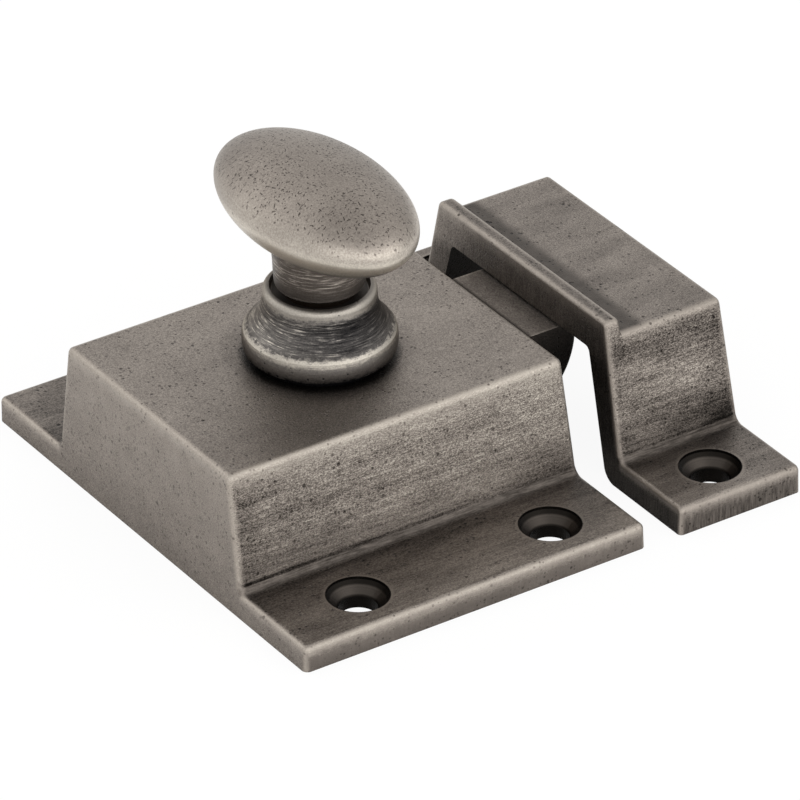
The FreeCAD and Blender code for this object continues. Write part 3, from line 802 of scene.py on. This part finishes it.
def plain_metal(name, colour, roughness, spread):
    """Machined metal that mostly stays out of sight, with fine marks."""
    g = Graph(bpy.data.materials.new(name))
    marks = g.noise(g.point(), 5.0, 3.0, 0.6, (1.0, 1.0, 0.2))
    share = g.vary(marks, spread)
    dark = tuple(c * 0.55 for c in colour)
    tone = g.tint(g.add(0.6, share), (*dark, 1), (*colour, 1))
    rough = g.add(roughness, g.mul(share, 0.3))
    return g.metal(tone, rough, marks, FINE_RELIEF)


def assign(node, material):
    """Gives a piece its only material."""
    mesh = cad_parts[node].data
    mesh.materials.clear()
    mesh.materials.append(material)


assign("case", Casting("case_pewter", CASE, CASE_TONES).material())
assign("strike", Casting("strike_pewter", STRIKE, STRIKE_TONES).material())
assign("collar", collar_finish())
assign("knob", knob_finish())
assign("latch_bolt", bolt_finish())
steel = plain_metal("turned_steel", (0.42, 0.42, 0.43), 0.35, 0.6)
for node in ("cover_plate", "cover_screws", "spindle", "cam", "cam_washer", "cam_screw"):
    assign(node, steel)
assign("spindle_bush", plain_metal("sintered_bronze", (0.45, 0.30, 0.15), 0.45, 0.5))
assign("thrust_washer", plain_metal("oiled_bronze", (0.08, 0.06, 0.045), 0.4, 0.5))


def make_spring(steps_per_turn=24, ring=10):
    """Smooth coil of round wire, with ring points round the wire at each step."""
    steps = steps_per_turn * SPRING["turns"]
    length = SPRING["high"] - SPRING["low"]
    pitch = length / SPRING["turns"]
    lean = math.atan2(pitch, 2 * math.pi * SPRING["radius"])
    vertices = []
    for i in range(steps + 1):
        turn = 2 * math.pi * SPRING["turns"] * i / steps
        outward = Vector((0, math.sin(turn), math.cos(turn)))
        tangent = Vector((0, math.cos(turn), -math.sin(turn))) * math.cos(lean)
        tangent += Vector((math.sin(lean), 0, 0))
        side = tangent.cross(outward).normalized()
        centre = Vector((SPRING["low"] + length * i / steps, 0, SPRING["z"]))
        centre += outward * SPRING["radius"]
        for k in range(ring):
            a = 2 * math.pi * k / ring
            offset = (outward * math.cos(a) + side * math.sin(a)) * SPRING["wire"]
            vertices.append((centre + offset) * MM)
    faces = []
    for i in range(steps):
        for k in range(ring):
            a, b = i * ring + k, i * ring + (k + 1) % ring
            faces.append((a, a + ring, b + ring, b))
    faces.append(tuple(range(ring)))
    faces.append(tuple(steps * ring + k for k in reversed(range(ring))))
    mesh = bpy.data.meshes.new("spring_wire")
    mesh.from_pydata(vertices, [], faces)
    mesh.polygons.foreach_set("use_smooth", [len(face) == 4 for face in faces])
    mesh.validate()
    mesh.materials.append(plain_metal("spring_wire", (0.38, 0.38, 0.4), 0.32, 0.4))
    made = bpy.data.objects.new("spring_wire", mesh)
    bpy.context.scene.collection.objects.link(made)
    return made


# The coil's back end stays on the case's wall
spring = make_spring()
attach(spring, "case")
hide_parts("bolt_spring")
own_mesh(spring)


def make_floor(name, level, glow, width=6):
    """Pale sheet that glows by a share of its own and is lit for the rest."""
    bpy.ops.mesh.primitive_plane_add(size=width, location=(0, 0, level))
    floor = bpy.context.object
    floor.name = name
    g = Graph(bpy.data.materials.new(name))
    shade = g.vary(g.noise(g.point(), 0.02, 2.0, 0.5), 0.02)
    colour = g.tint(g.add(0.5, shade), (0.88, 0.88, 0.88, 1), (0.92, 0.92, 0.92, 1))
    paper = g.node("ShaderNodeBsdfDiffuse", {"Color": colour})
    light = g.node("ShaderNodeEmission", {"Color": (1, 1, 1, 1), "Strength": 1.0})
    both = g.node("ShaderNodeMixShader", {0: glow, 1: paper.outputs[0], 2: light.outputs[0]})
    g.node("ShaderNodeOutputMaterial", {0: both.outputs[0]})
    floor.data.materials.append(g.owner)
    return floor


def make_sky():
    """Even light, two broad lights low in front, and three higher at the sides and behind."""
    g = Graph(bpy.data.worlds.new("studio"))
    ray = g.node("ShaderNodeTexCoord").outputs["Generated"]
    strength = EVEN_LIGHT
    for light in LIGHTS:
        turn, height = math.radians(light["turn"]), math.radians(light["height"])
        aim = (
            math.cos(height) * math.cos(turn),
            math.cos(height) * math.sin(turn),
            math.sin(height),
        )
        towards = g.vector_math("DOT_PRODUCT", ray, aim, "Value")
        gone = math.cos(math.radians(light["outer"]))
        full = math.cos(math.radians(light["inner"]))
        strength = g.add(strength, g.mul(g.rise(towards, gone, full), light["power"]))
    sky = g.node("ShaderNodeBackground", {"Color": (1.0, 0.99, 0.975, 1), "Strength": strength})
    g.node("ShaderNodeOutputWorld", {0: sky.outputs[0]})
    bpy.context.scene.world = g.owner


def make_camera():
    """The camera of the photograph."""
    data = bpy.data.cameras.new("camera")
    data.lens = CAMERA_LENS
    data.sensor_width = CAMERA_SENSOR
    data.clip_start = 0.05
    data.clip_end = 20
    camera = bpy.data.objects.new("camera", data)
    camera.location = CAMERA_PLACE
    camera.rotation_euler = Vector(CAMERA_AIM).to_track_quat("-Z", "Y").to_euler()
    bpy.context.scene.collection.objects.link(camera)
    bpy.context.scene.camera = camera
    bpy.context.scene.view_settings.view_transform = "Standard"


# The camera sees a sheet that hardly takes shadows, and the object is lit by one that does
seen = make_floor("floor_paper", -0.02 * MM, 0.92)
seen.visible_diffuse = seen.visible_glossy = seen.visible_transmission = seen.visible_shadow = False
below = make_floor("floor_bounce", -0.04 * MM, 0.0)
below.visible_camera = False
make_sky()
make_camera()
